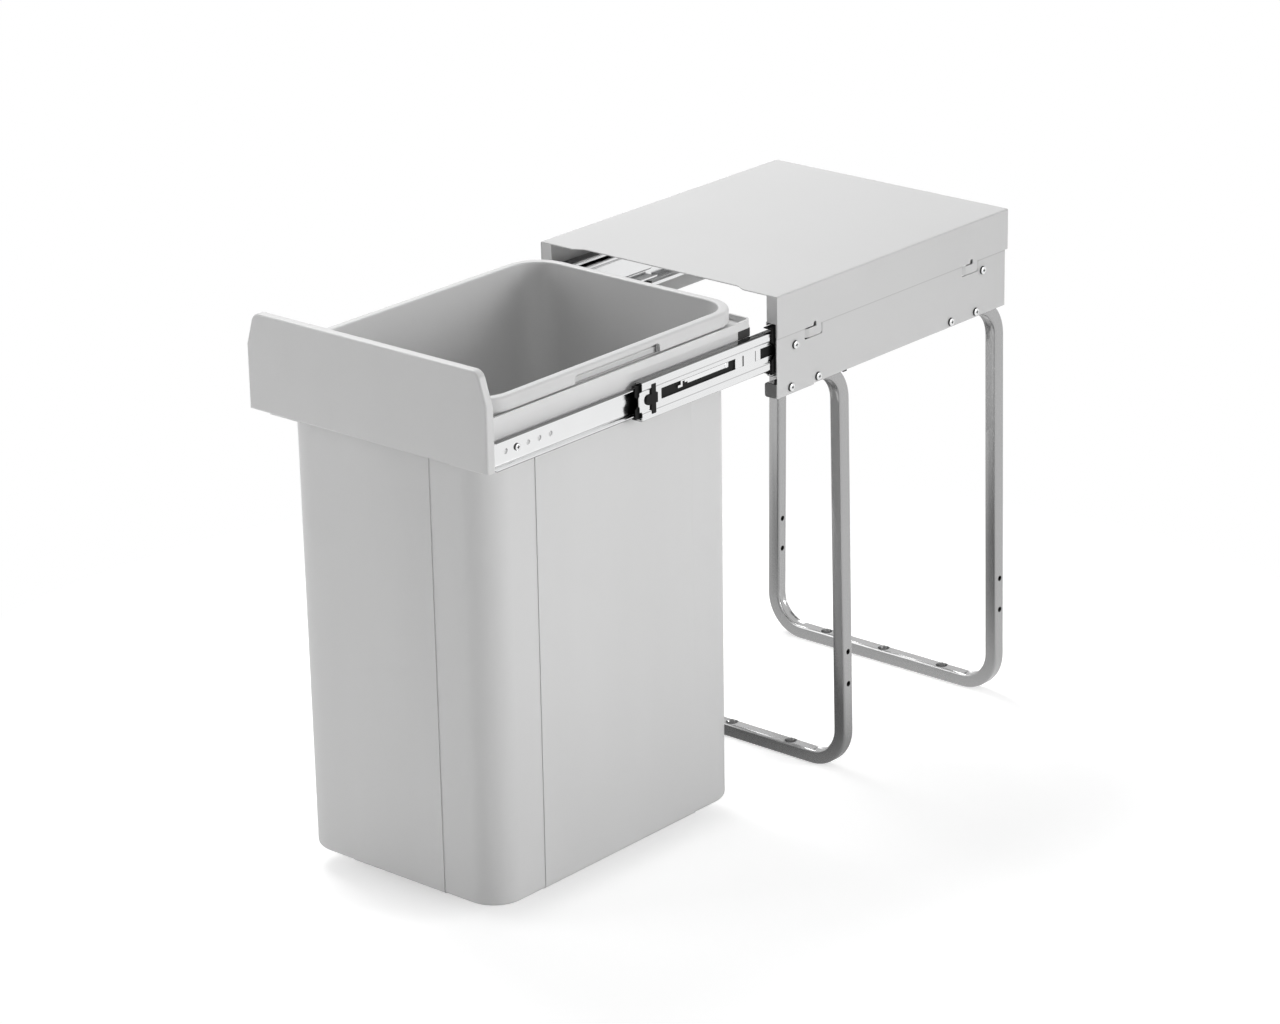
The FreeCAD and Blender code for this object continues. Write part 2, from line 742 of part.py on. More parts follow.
def middle_member():
    """The member between the outer and the drawer member, with its nose, slots and windows."""
    nose = middle_front - nose_length
    shape = bent_strip(middle_path(), middle_bend_radius, slide_gauge, nose, middle_front + moving_length)
    for sign in (-1, 1):
        low, high = sorted((sign * nose_half, sign * (middle_height / 2 + cut_past)))
        shape = shape.cut(inset_box(0, slide_thickness, nose - cut_past, middle_front, low, high))
    slot = web_cut(catch_slot_start, catch_slot_length, -catch_slot_bottom, catch_slot_top)
    shape = shape.cut(filleted(slot, catch_slot_corner, lambda e: along(e, 0)))
    for start in slit_positions:
        shape = shape.cut(web_cut(start, slit_width, -catch_slot_bottom, catch_slot_top))
    shape = shape.cut(web_cut(window_start, window_length, -catch_slot_bottom, catch_slot_top))
    pads = (
        (catch_slot_start + catch_slot_length, slit_positions[0]),
        (slit_positions[1] + slit_width, window_start),
    )
    for start, end in pads:
        y0, y1 = middle_front + start, middle_front + end
        floor = middle_web + web_pad_depth
        shape = shape.cut(inset_box(middle_web - cut_past, floor, y0, y1, -catch_slot_bottom, catch_slot_top))
    cutter = insert_solid(insert_fit)
    cutter = cutter.fuse(cutter.translated(V(-insert_depth / 2, 0, 0)))
    return shape.cut(cutter)


def catch_rear():
    """The rear end of the catch, short of the slot's rear end."""
    return middle_front + catch_slot_start + catch_slot_length - catch_rear_gap


def catch_pivot_place():
    """Depth and height of the pin that the catch turns on."""
    y = catch_rear() - catch_pivot_radius * 2
    z = slide_z + catch_slot_top - catch_clearance - catch_height / 2
    return y, z


def catch():
    """The sprung steel catch in the middle member's slot: a bar with a lug, and a J hook on a thin bridge."""
    y1 = catch_rear()
    y0 = y1 - catch_length
    top = slide_z + catch_slot_top - catch_clearance
    x1 = panel_inside - catch_inset
    x0 = x1 - catch_sheet
    stem_y = y0 - catch_hook_reach
    hook_low = top - catch_hook_drop
    shape = box(x0, x1, y0, y1, top - catch_height, top)
    shape = shape.fuse(box(x0, x1, y0 - catch_lug_length, y0, top - catch_lug_height, top))
    shape = shape.fuse(box(x0, x1, stem_y, y0, top - catch_bridge_height, top))
    shape = shape.fuse(box(x0, x1, stem_y, stem_y + catch_hook_width, hook_low, top))
    shape = shape.fuse(box(x0, x1, stem_y - catch_toe_length, stem_y, hook_low, hook_low + catch_toe_height))
    y, z = catch_pivot_place()
    start = V(x0 - cut_past, y, z)
    hole_radius = catch_pivot_radius + catch_pivot_play
    hole = Part.makeCylinder(hole_radius, catch_sheet + 2 * cut_past, start, V(1, 0, 0))
    return shape.removeSplitter().cut(hole)


def catch_pin():
    """The rivet that the catch turns on, set in a small ear of the middle member's web."""
    y, z = catch_pivot_place()
    x1 = panel_inside - catch_inset
    shank = Part.makeCylinder(catch_pivot_radius, catch_sheet, V(x1 - catch_sheet, y, z), V(1, 0, 0))
    head = Part.makeCylinder(catch_pivot_radius + catch_head_rim, catch_head_height, V(x1, y, z), V(1, 0, 0))
    return shank.fuse(head)


def drawer_member():
    """The member screwed to the tray: a plain channel with screw holes in its web."""
    w = inner_height / 2 - half_gauge
    web = slide_thickness - half_gauge
    tip = inner_cage_standoff + cage_wall + inner_flange_clearance
    path = [(tip, w), (web, w), (web, -w), (tip, -w)]
    shape = bent_strip(path, inner_bend_radius, slide_gauge, drawer_front, drawer_front + moving_length)
    past_web = tray_side + slide_gauge + cut_past
    for d in drawer_hole_places():
        y = drawer_front + d
        shape = shape.cut(screw_hole(y, slide_z, drawer_hole_radius, tray_side - cut_past, past_web))
    return shape


def drawer_hole_places():
    """Distances of the drawer member's holes from its front end."""
    row = [drawer_hole_first + i * drawer_hole_pitch for i in range(drawer_hole_count)]
    return row + [drawer_rear_hole]


def tray_screw_places():
    """Depths of the screws that hold the drawer member: the second hole and the rear one."""
    return [drawer_front + drawer_hole_places()[1], drawer_front + drawer_rear_hole]


def ball_cage(front, length, web_inset, flange_end, ball_inset, ball_w, ball_radius, row):
    """A plastic ball cage: a thin scalloped web and two flanges with a row of ball pockets each."""
    half_wall = cage_flange_wall / 2
    half = ball_w - half_wall
    shape = inset_box(web_inset, web_inset + cage_wall, front, front + length, -half, half)
    for sign in (-1, 1):
        low, high = sorted((sign * (ball_w - half_wall), sign * (ball_w + half_wall)))
        shape = shape.fuse(inset_box(web_inset, flange_end, front, front + length, low, high))
    shape = shape.removeSplitter()
    for y in row:
        for sign in (-1, 1):
            start = V(panel_inside - ball_inset, y, slide_z + sign * ball_w - half_wall - cut_past)
            deep = cage_flange_wall + 2 * cut_past
            shape = shape.cut(Part.makeCylinder(ball_radius + ball_pocket_play, deep, start))
    start = V(panel_inside - web_inset - cage_wall - cut_past, front - ball_w * cage_scallop_offset, slide_z)
    scallop = Part.makeCylinder(ball_w * cage_scallop_radius, cage_wall + 2 * cut_past, start, V(1, 0, 0))
    return shape.cut(scallop)


def ball_row(front, first, length, pitch):
    """The places of the balls along this length of a cage."""
    count = int((length - 2 * first) / pitch + 1)
    return [front + first + i * pitch for i in range(count)]


def balls(ball_inset, ball_w, ball_radius, row):
    """Two rows of balls, one above and one below the member between them."""
    made = []
    for y in row:
        for sign in (-1, 1):
            made.append(Part.makeSphere(ball_radius, V(panel_inside - ball_inset, y, slide_z + sign * ball_w)))
    return Part.makeCompound(made)


def outer_cage_front():
    """The front end of the outer cage with the tray pulled out."""
    return slide_front - outer_cage_overhang


def inner_cage_front():
    """The front end of the inner cage with the tray pulled out."""
    return middle_front - inner_cage_overhang


def outer_row():
    return ball_row(outer_cage_front(), outer_ball_first, outer_cage_length, outer_ball_pitch)


def inner_row():
    """The inner cage holds balls in its front part only."""
    filled = inner_cage_length * inner_ball_share
    return ball_row(inner_cage_front(), inner_ball_first, filled, inner_ball_pitch)


def outer_cage():
    """The cage between the outer and the middle member."""
    web = slide_gauge + cage_clearance
    end = outer_depth - slide_gauge - cage_end_clearance
    return ball_cage(
        outer_cage_front(), outer_cage_length, web, end,
        outer_ball_inset, outer_ball_w, outer_ball_radius, outer_row(),
    )


def inner_cage():
    """The cage between the middle and the drawer member; its plain rear part runs on past the balls."""
    web = inner_cage_standoff
    end = middle_flange_end - slide_gauge - cage_end_clearance
    return ball_cage(
        inner_cage_front(), inner_cage_length, web, end,
        inner_ball_inset, inner_ball_w, inner_ball_radius, inner_row(),
    )


def outer_balls():
    return balls(outer_ball_inset, outer_ball_w, outer_ball_radius, outer_row())


def inner_balls():
    return balls(inner_ball_inset, inner_ball_w, inner_ball_radius, inner_row())


# Screws


def pan_screw(x, y, z, direction, head_radius, head_height, shank_radius, length):
    """A pan-head screw whose head stands on the plane at x and whose shank runs the other way."""
    way = V(direction, 0, 0)
    head = Part.makeCylinder(head_radius, head_height, V(x, y, z), way)
    face = x + direction * head_height
    head = filleted(head, head_height * head_round, lambda e: abs(e.CenterOfMass.x - face) < 1e-6)
    shank = Part.makeCylinder(shank_radius, length, V(x, y, z), V(-direction, 0, 0))
    low, high = sorted((face, face - direction * recess_depth))
    long, narrow = recess_length / 2, recess_width / 2
    upright = box(low, high, y - narrow, y + narrow, z - long, z + long)
    level = box(low, high, y - long, y + long, z - narrow, z + narrow)
    return head.fuse(shank).cut(upright.fuse(level))


def both_sides(shapes):
    """The shapes and their mirror images, as one group."""
    return Part.makeCompound(shapes + [mirrored(s) for s in shapes])


def slide_screws():
    """Screws through the side panels into the outer members."""
    length = panel_sheet + slide_gauge
    return both_sides(
        [
            pan_screw(panel_outside, y, z, 1, screw_head_radius, screw_head_height, screw_shank_radius, length)
            for y, z in slide_screw_places()
        ]
    )


def leg_screws():
    """Screws through the side panels into the legs' upper runs."""
    length = leg_screw_length
    return both_sides(
        [
            pan_screw(panel_outside, y, z, 1, screw_head_radius, screw_head_height, screw_shank_radius, length)
            for y, z in leg_screw_places()
        ]
    )


def tray_screws():
    """Screws inside the drawer members that hold them to the tray."""
    face = tray_side + slide_gauge
    length = slide_gauge + tray_wall - tray_screw_end_gap
    return both_sides(
        [
            pan_screw(face, y, slide_z, 1, small_head_radius, small_head_height, small_shank_radius, length)
            for y in tray_screw_places()
        ]
    )


def front_screws():
    """Screws through the tray's front wall into the bosses of the front panel."""
    made = []
    length = small_shank_length
    for x in front_screw_x:
        for sign in (-1, 1):
            screw = pan_screw(0, 0, 0, 1, small_head_radius, small_head_height, small_shank_radius, length)
            screw.rotate(V(0, 0, 0), V(0, 0, 1), 90)
            screw.translate(V(sign * x, panel_back + tray_wall, front_screw_z))
            made.append(screw)
    return Part.makeCompound(made)


# Tray


def tray_opening(z0, z1):
    """The tray's opening, which the bin hangs in."""
    front = body_front_top - bin_clearance
    rear = body_rear_top + bin_clearance
    return rounded_block(-tray_inner, tray_inner, front, rear, bin_body_corner + bin_clearance, z0, z1)


def tray_frame():
    """A plastic ring: ledge with a groove, an inner lip that the bin's rim hangs on, and walls below."""
    inner_front = body_front_top - bin_clearance
    inner_rear = body_rear_top + bin_clearance
    inner_r = bin_body_corner + bin_clearance
    low = cover_top - tray_side_bottom
    side = tray_ledge_outside
    ledge = rounded_block(-side, side, panel_back, tray_rear, tray_corner, ledge_bottom, ledge_top)
    groove_side = side - tray_ledge_wall
    groove_front = panel_back + tray_ledge_wall
    groove_rear = tray_rear - tray_ledge_wall
    groove_low = ledge_bottom + tray_ledge_floor
    groove_corner = tray_corner - tray_ledge_wall
    groove = rounded_block(
        -groove_side, groove_side, groove_front, groove_rear, groove_corner, groove_low, ledge_top + cut_past
    )
    lip_side = tray_inner + tray_lip_wall
    lip_front = inner_front - tray_lip_wall
    lip_rear = inner_rear + tray_lip_wall
    lip_corner = inner_r + tray_lip_wall
    lip = rounded_block(-lip_side, lip_side, lip_front, lip_rear, lip_corner, ledge_bottom, rim_underside)
    walls = box(-tray_side, tray_side, panel_back, inner_rear + tray_wall, low, ledge_bottom + cut_past)
    for sign in (-1, 1):
        x0, x1 = sorted((sign * tray_inner, sign * tray_side))
        walls = walls.fuse(box(x0, x1, inner_rear, tray_rear, low, ledge_bottom + cut_past))
    ring = walls.fuse(ledge.cut(groove)).fuse(lip).cut(tray_opening(low - cut_past, cover_top))
    front_low = cover_top - tray_front_bottom
    keep = tray_inner - inner_r
    ring = ring.cut(box(-keep, keep, panel_back - cut_past, inner_front + inner_r, low - cut_past, front_low))
    rear_low = cover_top - tray_rear_bottom
    ring = ring.cut(box(-keep, keep, inner_rear - inner_r, tray_rear + cut_past, low - cut_past, rear_low))
    grip_front, grip_rear = rim_centre - grip_length / 2, rim_centre + grip_length / 2
    beside = side + cut_past
    ring = ring.cut(box(-beside, beside, grip_front, grip_rear, ledge_top, rim_underside + cut_past))
    hole_radius = small_shank_radius + screw_play
    head_radius = small_head_radius + small_head_clearance
    for y in tray_screw_places():
        hole = screw_hole(y, slide_z, hole_radius, tray_inner - cut_past, tray_side + cut_past)
        ring = ring.cut(hole).cut(mirrored(hole))
    for x in front_screw_x:
        start = V(x, panel_back - cut_past, front_screw_z)
        seat = V(x, panel_back + tray_wall, front_screw_z)
        hole = Part.makeCylinder(hole_radius, tray_wall + 2 * cut_past, start, V(0, 1, 0))
        head = Part.makeCylinder(head_radius, inner_front - panel_back, seat, V(0, 1, 0))
        bore = hole.fuse(head)
        ring = ring.cut(bore).cut(mirrored(bore))
    return ring.removeSplitter()


def front_panel():
    """The tray's front: a thick plate with tapered shoulders, hollowed from behind where the tray covers it."""
    top = cover_top + front_top
    bottom = cover_top - front_bottom
    shoulder = cover_top + front_shoulder
    upper_half = front_half_width - front_taper
    outline = [
        (-front_half_width, bottom),
        (front_half_width, bottom),
        (front_half_width, shoulder),
        (upper_half, top),
        (-upper_half, top),
        (-front_half_width, shoulder),
    ]
    face = Part.Face(wire_of([V(x, panel_face, z) for x, z in outline]))
    plate = face.extrude(V(0, front_thickness, 0))
    plate = filleted(plate, front_corner, lambda e: along(e, 1) and e.Vertexes[0].Z > top - 1e-6)
    front_edge = lambda e: max(abs(v.Y - panel_face) for v in e.Vertexes) < 1e-6
    plate = filleted(plate, front_edge_radius, front_edge)
    at_back = lambda e: min(v.Y for v in e.Vertexes) > panel_back - 1e-6
    back_top = lambda e: at_back(e) and min(v.Z for v in e.Vertexes) > shoulder - 1e-6
    plate = filleted(plate, front_back_radius, back_top)
    pocket_side = tray_side - front_wall
    pocket_top = ledge_bottom - front_wall
    pocket_low = cover_top - tray_front_bottom + front_wall
    pocket_front = panel_face + front_wall
    pocket = box(-pocket_side, pocket_side, pocket_front, panel_back + cut_past, pocket_low, pocket_top)
    reach = small_shank_length - tray_wall + front_screw_room
    both = front_screw_x + tuple(-x for x in front_screw_x)
    for x in both:
        foot = V(x, panel_face, front_screw_z)
        pocket = pocket.cut(Part.makeCylinder(front_boss_radius, front_thickness, foot, V(0, 1, 0)))
    plate = plate.cut(pocket)
    for x in both:
        start = V(x, panel_back - reach, front_screw_z)
        hole = Part.makeCylinder(small_shank_radius + screw_play, reach + cut_past, start, V(0, 1, 0))
        plate = plate.cut(hole)
    return plate


def rail_pads():
    """Thin dark pads on the rear ends of the tray's side walls, just under the ledge."""
    top = ledge_bottom - pad_drop
    front = tray_rear - pad_length
    return both_sides([box(tray_side, tray_side + pad_sheet, front, tray_rear, top - pad_height, top)])


# Bin


def drafted(half, front, rear, corner, z0, z1):
    """A block with draft: its upper outline is given, and its lower one is drawn in."""
    inset0 = (rim_underside - z0) * bin_slope
    inset1 = (rim_underside - z1) * bin_slope
    wires = [
        rounded_wire(-half + inset, half - inset, front + inset, rear - inset, corner, z)
        for inset, z in ((inset0, z0), (inset1, z1))
    ]
    return Part.makeLoft(wires, True, True)


def bin_shell():
    """The bin: a drafted body with proud middle fields, and a rolled rim with a hand grip on each side."""
    at_bottom = lambda e: max(v.Z for v in e.Vertexes) < bin_bottom + 1e-6
    outer = drafted(body_half_top, body_front_top, body_rear_top, bin_body_corner, bin_bottom, rim_top)
    outer = filleted(outer, bin_bottom_round, at_bottom)
    field_high = rim_underside - bin_panel_below_rim
    proud = drafted(
        body_half_top + bin_panel_proud, body_front_top - bin_panel_proud, body_rear_top + bin_panel_proud,
        bin_body_corner, bin_bottom, field_high,
    )
    proud = filleted(proud, bin_bottom_round, at_bottom)
    front_band = box(
        -bin_panel_half_front, bin_panel_half_front, rim_front - far_past, rim_rear + far_past, 0, cover_top
    )
    beside = cover_half + far_past
    band_front, band_rear = rim_centre - bin_panel_half_side, rim_centre + bin_panel_half_side
    side_band = box(-beside, beside, band_front, band_rear, 0, cover_top)
    outer = outer.fuse(proud.common(front_band)).fuse(proud.common(side_band))
    half = bin_rim_half_width
    rim = rounded_block(-half, half, rim_front, rim_rear, bin_rim_corner, rim_bottom, rim_top)
    rim = filleted(rim, bin_rim_round, lambda e: min(v.Z for v in e.Vertexes) > rim_top - 1e-6)
    skirt = half - bin_wall
    under = rounded_block(
        -skirt, skirt, rim_front + bin_wall, rim_rear - bin_wall, bin_rim_corner - bin_wall,
        rim_bottom - cut_past, rim_underside,
    )
    grip_z = rim_top - grip_top_margin
    grip_front, grip_rear = rim_centre - grip_length / 2, rim_centre + grip_length / 2
    grip = box(-half - cut_past, half + cut_past, grip_front, grip_rear, rim_bottom - cut_past, grip_z)
    grip = filleted(grip, grip_corner, lambda e: along(e, 0) and e.Vertexes[0].Z > grip_z - 1e-6)
    rim = rim.cut(under).cut(grip)
    inner = drafted(
        body_half_top - bin_wall, body_front_top + bin_wall, body_rear_top - bin_wall,
        bin_body_corner - bin_wall, bin_bottom + bin_wall, rim_top + cut_past,
    )
    at_floor = lambda e: max(v.Z for v in e.Vertexes) < bin_bottom + bin_wall + 1e-6
    inner = filleted(inner, bin_inner_round, at_floor)
    shape = outer.fuse(rim).cut(inner)
    at_top = lambda e: min(v.Z for v in e.Vertexes) > rim_top - 1e-6
    inside_top = lambda e: at_top(e) and max(abs(v.X) for v in e.Vertexes) < body_half_top - bin_wall / 2
    return filleted(shape.removeSplitter(), bin_rim_inner_round, inside_top)


def export(name, shape):
    """Writes one named piece, and says what it holds."""
    shape.exportStep("parts/" + name + ".step")
    state = "valid" if shape.isValid() else "NOT VALID"
    print(name, len(shape.Solids), "solids", round(shape.Volume / 1000, 2), "cm3", state)


def main():
    os.makedirs("parts", exist_ok=True)
    export("cover", cover())
    export("leg_frame_front", leg_frame(leg_y[0]))
    export("leg_frame_rear", leg_frame(leg_y[1]))
    export("tube_end_plugs", end_plugs())
    export("panel_edge_clips", both_sides([edge_clip(), front_clip()]))
    export("slide_screws", slide_screws())
    export("leg_screws", leg_screws())
    export("tray_screws", tray_screws())
    export("front_panel_screws", front_screws())
    export("tray_frame", tray_frame())
    export("tray_rail_pads", rail_pads())
    export("front_panel", front_panel())
    export("bin", bin_shell())
    handed = {
        "side_panel": side_panel,
        "slide_outer": outer_member,
        "slide_end_stop": outer_end_stop,
        "slide_middle": middle_member,
        "slide_front_insert": lambda: insert_solid(0),
        "slide_catch": catch,
        "slide_catch_pin": catch_pin,
        "slide_drawer": drawer_member,
        "outer_cage": outer_cage,
        "outer_balls": outer_balls,
        "inner_cage": inner_cage,
        "inner_balls": inner_balls,
    }
    for name, make in handed.items():
        right = make()
        export(name + "_right", right)
        export(name + "_left", mirrored(right))


main()
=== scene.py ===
import bmesh
import bpy
import json
import math
from mathutils import Matrix, Vector

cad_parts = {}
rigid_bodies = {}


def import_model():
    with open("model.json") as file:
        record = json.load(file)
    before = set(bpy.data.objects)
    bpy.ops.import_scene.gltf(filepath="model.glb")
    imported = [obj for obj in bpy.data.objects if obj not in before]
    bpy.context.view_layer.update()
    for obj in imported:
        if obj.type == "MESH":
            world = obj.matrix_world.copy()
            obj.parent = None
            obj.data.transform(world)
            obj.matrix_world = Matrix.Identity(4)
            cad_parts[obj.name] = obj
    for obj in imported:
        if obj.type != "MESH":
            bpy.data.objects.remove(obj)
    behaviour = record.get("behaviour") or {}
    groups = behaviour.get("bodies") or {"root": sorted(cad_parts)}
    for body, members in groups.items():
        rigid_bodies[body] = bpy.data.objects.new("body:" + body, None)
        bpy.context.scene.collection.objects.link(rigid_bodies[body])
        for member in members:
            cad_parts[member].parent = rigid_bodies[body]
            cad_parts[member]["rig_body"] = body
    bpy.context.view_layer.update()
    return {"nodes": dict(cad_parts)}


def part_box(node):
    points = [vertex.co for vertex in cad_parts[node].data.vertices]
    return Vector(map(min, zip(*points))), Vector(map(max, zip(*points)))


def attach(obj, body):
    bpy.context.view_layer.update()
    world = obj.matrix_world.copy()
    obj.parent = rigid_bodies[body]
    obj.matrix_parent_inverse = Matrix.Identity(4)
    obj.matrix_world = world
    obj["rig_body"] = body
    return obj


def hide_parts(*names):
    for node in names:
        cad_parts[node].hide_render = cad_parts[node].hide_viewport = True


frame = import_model()
nodes = frame["nodes"]
mm = 0.001


# The camera stands to the right in front of the unit and looks down on it, with a long lens and no shift.

camera_place = Vector((2.2311, -2.7887, 1.5060))
camera_heading = math.radians(41.004)
camera_pitch = math.radians(20.434)
camera_roll = math.radians(-1.093)
camera_lens = 123.51
sensor_width = 36
view_end = 50.0

camera = bpy.data.objects.new("camera", bpy.data.cameras.new("camera"))
bpy.context.scene.collection.objects.link(camera)
camera.data.sensor_width = sensor_width
camera.data.lens = camera_lens
camera.data.clip_end = view_end
turn = Matrix.Rotation(camera_heading, 4, "Z") @ Matrix.Rotation(math.pi / 2 - camera_pitch, 4, "X")
camera.matrix_world = Matrix.Translation(camera_place) @ turn @ Matrix.Rotation(camera_roll, 4, "Z")
bpy.context.scene.camera = camera
bpy.context.scene.view_settings.view_transform = "Standard"


# The studio: a sheet of white paper in a white surround, which keeps soft shadows near the unit. A large
# soft lamp hangs high at the left, with a narrow one low at the right rear and a weak one at the left
# front. Mirror rays see white all round too, apart from a shaded patch of the paper.

white = (1, 1, 1, 1)
sky_top = 0.36
sky_side = 0.42
floor_size = 14.0
floor_level = 251
floor_glow = 0.42
floor_middle = (0.0, -0.2, 0.0)
white_from = 0.38
white_to = 0.72
shade_strength = 0.2
shade_middle = (-0.03, -0.25, 0.0)
shade_from = 0.12
shade_to = 0.42
beam = math.radians(46)


class Wire:
    """A socket of a finish; sums, products and the like on it add Math nodes."""

    def __init__(self, finish, socket):
        self.finish = finish
        self.socket = socket

    def maths(self, operation, *numbers):
        return self.finish.node("ShaderNodeMath", {"operation": operation}, dict(enumerate(numbers)))

    def __add__(self, other):
        return self.maths("ADD", self, other)

    def __sub__(self, other):
        return self.maths("SUBTRACT", self, other)

    def __rsub__(self, other):
        return self.maths("SUBTRACT", other, self)

    def __mul__(self, other):
        return self.maths("MULTIPLY", self, other)

    def __truediv__(self, other):
        return self.maths("DIVIDE", self, other)

    def __abs__(self):
        return self.maths("ABSOLUTE", self)

    def above(self, other):
        return self.maths("MAXIMUM", self, other)

    def below(self, other):
        return self.maths("MINIMUM", self, other)

    def clipped(self):
        return self.above(0).below(1)

    __radd__ = __add__
    __rmul__ = __mul__


class Finish:
    """The node tree of one material or of the world."""

    def __init__(self, owner):
        owner.use_nodes = True
        self.owner = owner
        self.tree = owner.node_tree
        self.tree.nodes.clear()

    def node(self, kind, settings=None, values=None, output=0):
        made = self.tree.nodes.new(kind)
        for name, value in (settings or {}).items():
            setattr(made, name, value)
        for key, value in (values or {}).items():
            if isinstance(value, Wire):
                self.tree.links.new(value.socket, made.inputs[key])
            else:
                made.inputs[key].default_value = value
        return Wire(self, made.outputs[output]) if made.outputs else None


def grey(level, warmth=0.0):
    """A colour that shows as this level out of 255, a touch warmer or cooler than neutral."""
    shown = level / 255
    linear = ((shown + 0.055) / 1.055) ** 2.4 if shown > 0.04 else shown / 12.92
    return (linear * (1 + warmth), linear, linear * (1 - warmth), 1)


def ray(finish, kind):
    """1 for rays of this kind and 0 for all others."""
    return finish.node("ShaderNodeLightPath", output=f"Is {kind} Ray")


def object_place(finish):
    """Object coordinates, which stay with the piece."""
    return finish.node("ShaderNodeTexCoord", output="Object")


def coordinate(finish, place, axis):
    """One coordinate of a place."""
    return finish.node("ShaderNodeSeparateXYZ", values={"Vector": place}, output=axis)


def outside(finish, place, middle, near, far):
    """0 up to the distance near from a middle point, 1 from the distance far, and a slope between."""
    arm = finish.node("ShaderNodeVectorMath", {"operation": "SUBTRACT"}, {0: place, 1: middle})
    distance = finish.node("ShaderNodeVectorMath", {"operation": "LENGTH"}, {0: arm}, "Value")
    return ((distance - near) / (far - near)).clipped()


world = bpy.data.worlds.new("studio")
bpy.context.scene.world = world
sky = Finish(world)
height = coordinate(sky, sky.node("ShaderNodeTexCoord", output="Generated"), "Z")
seen = ray(sky, "Camera").above(ray(sky, "Glossy")).above(ray(sky, "Transmission"))
lighting = sky_side + (sky_top - sky_side) * height.above(0)
strength = seen + (1 - seen) * lighting
surround = sky.node("ShaderNodeBackground", values={"Color": white, "Strength": strength})
sky.node("ShaderNodeOutputWorld", values={"Surface": surround})

floor_mesh = bmesh.new()
bmesh.ops.create_grid(floor_mesh, x_segments=1, y_segments=1, size=floor_size / 2)
floor = bpy.data.objects.new("floor", bpy.data.meshes.new("floor"))
floor_mesh.to_mesh(floor.data)
floor_mesh.free()
bpy.context.scene.collection.objects.link(floor)

paper = Finish(bpy.data.materials.new("floor_paper"))
spot = object_place(paper)
camera_ray = ray(paper, "Camera")
mirror_ray = ray(paper, "Glossy")
lit = paper.node("ShaderNodeBsdfDiffuse", values={"Color": grey(floor_level), "Roughness": 1.0})
glow = paper.node("ShaderNodeEmission", values={"Color": white, "Strength": camera_ray * floor_glow})
shown = paper.node("ShaderNodeAddShader", values={0: lit, 1: glow})
strength = shade_strength + (1 - shade_strength) * outside(paper, spot, shade_middle, shade_from, shade_to)
mirrored = paper.node("ShaderNodeEmission", values={"Color": white, "Strength": strength})
near_paper = paper.node("ShaderNodeMixShader", values={0: mirror_ray, 1: shown, 2: mirrored})
far_paper = paper.node("ShaderNodeEmission", values={"Color": white, "Strength": 1.0})
fade = outside(paper, spot, floor_middle, white_from, white_to) * camera_ray.above(mirror_ray)
paper_mix = paper.node("ShaderNodeMixShader", values={0: fade, 1: near_paper, 2: far_paper})
paper.node("ShaderNodeOutputMaterial", values={"Surface": paper_mix})
floor.data.materials.append(paper.owner)


def lamp(name, place, aim, size, power, spread=math.pi):
    """A square soft lamp."""
    light = bpy.data.lights.new(name, "AREA")
    light.shape = "SQUARE"
    light.size = size
    light.energy = power
    light.spread = spread
    holder = bpy.data.objects.new(name, light)
    bpy.context.scene.collection.objects.link(holder)
    way = (Vector(aim) - Vector(place)).to_track_quat("-Z", "Y")
    holder.matrix_world = Matrix.Translation(place) @ way.to_matrix().to_4x4()


lamp("side_lamp", place=(2.75, 0.75, 0.85), aim=(0.1, -0.5, 0.3), size=1.2, power=3.8, spread=beam)
lamp("top_lamp", place=(-1.7, 0.5, 2.7), aim=(0.0, -0.1, 0.4), size=1.6, power=74.0)
lamp("front_lamp", place=(-1.7, -2.1, 1.2), aim=(0.0, -0.5, 0.3), size=1.4, power=12.5)


# Housing: a cover of folded sheet steel, hooked over two side panels, all with a fine matt powder coat.
# The coat shows a faint orange peel, and rounds every cut edge by a hair. A thin dark line of painted
# shade on the panels stands for the shadow under the cover's edge.

cover_level = 198
panel_level = 197
cover_depth = 35.5 * mm
coat_edge = 0.28 * mm
coat_roughness = 0.44
coat_unevenness = 0.1
coat_bump = 0.012 * mm
# A thin line of painted shade on the side panels, where the cover's edge would cast its shadow:
edge_shade_gap = 0.4 * mm
edge_shade_half = 1.2 * mm
edge_shade_level = 165
edge_shade_strength = 0.7
tint_spread = 4
weld_distance = 1e-6
flat_angle = math.radians(0.4)


def cloud(finish, place, scale, detail=3.0):
    """A soft noise from 0 to 1 over the object, with its middle near a half."""
    return finish.node("ShaderNodeTexNoise", values={"Vector": place, "Scale": scale, "Detail": detail})


def mixed(first, second, share):
    """Two patterns in one, with this share of the second."""
    return first * (1 - share) + second * share


def blend(finish, share, low, high):
    """A colour between two colours."""
    return finish.node("ShaderNodeMix", {"data_type": "RGBA"}, {0: share, 6: low, 7: high}, 2)


def mottled(finish, pattern, level, warmth=0.0):
    """A grey that a pattern makes slightly darker and lighter."""
    return blend(finish, pattern, grey(level - tint_spread, warmth), grey(level + tint_spread, warmth))


def stretched(finish, place, stretch):
    """Object coordinates drawn out along one or more axes, for streaks."""
    return finish.node("ShaderNodeVectorMath", {"operation": "MULTIPLY"}, {0: place, 1: stretch})


def surface(finish, colour, roughness, height, depth, metallic=0.0, specular=0.5):
    """Closes a finish: the shader with its bump, and the material's output."""
    bump = finish.node("ShaderNodeBump", values={"Height": height, "Strength": 1.0, "Distance": depth})
    values = {
        "Base Color": colour,
        "Roughness": roughness,
        "Metallic": metallic,
        "Specular IOR Level": specular,
        "Normal": bump,
    }
    shader = finish.node("ShaderNodeBsdfPrincipled", values=values)
    finish.node("ShaderNodeOutputMaterial", values={"Surface": shader})
    return finish.owner


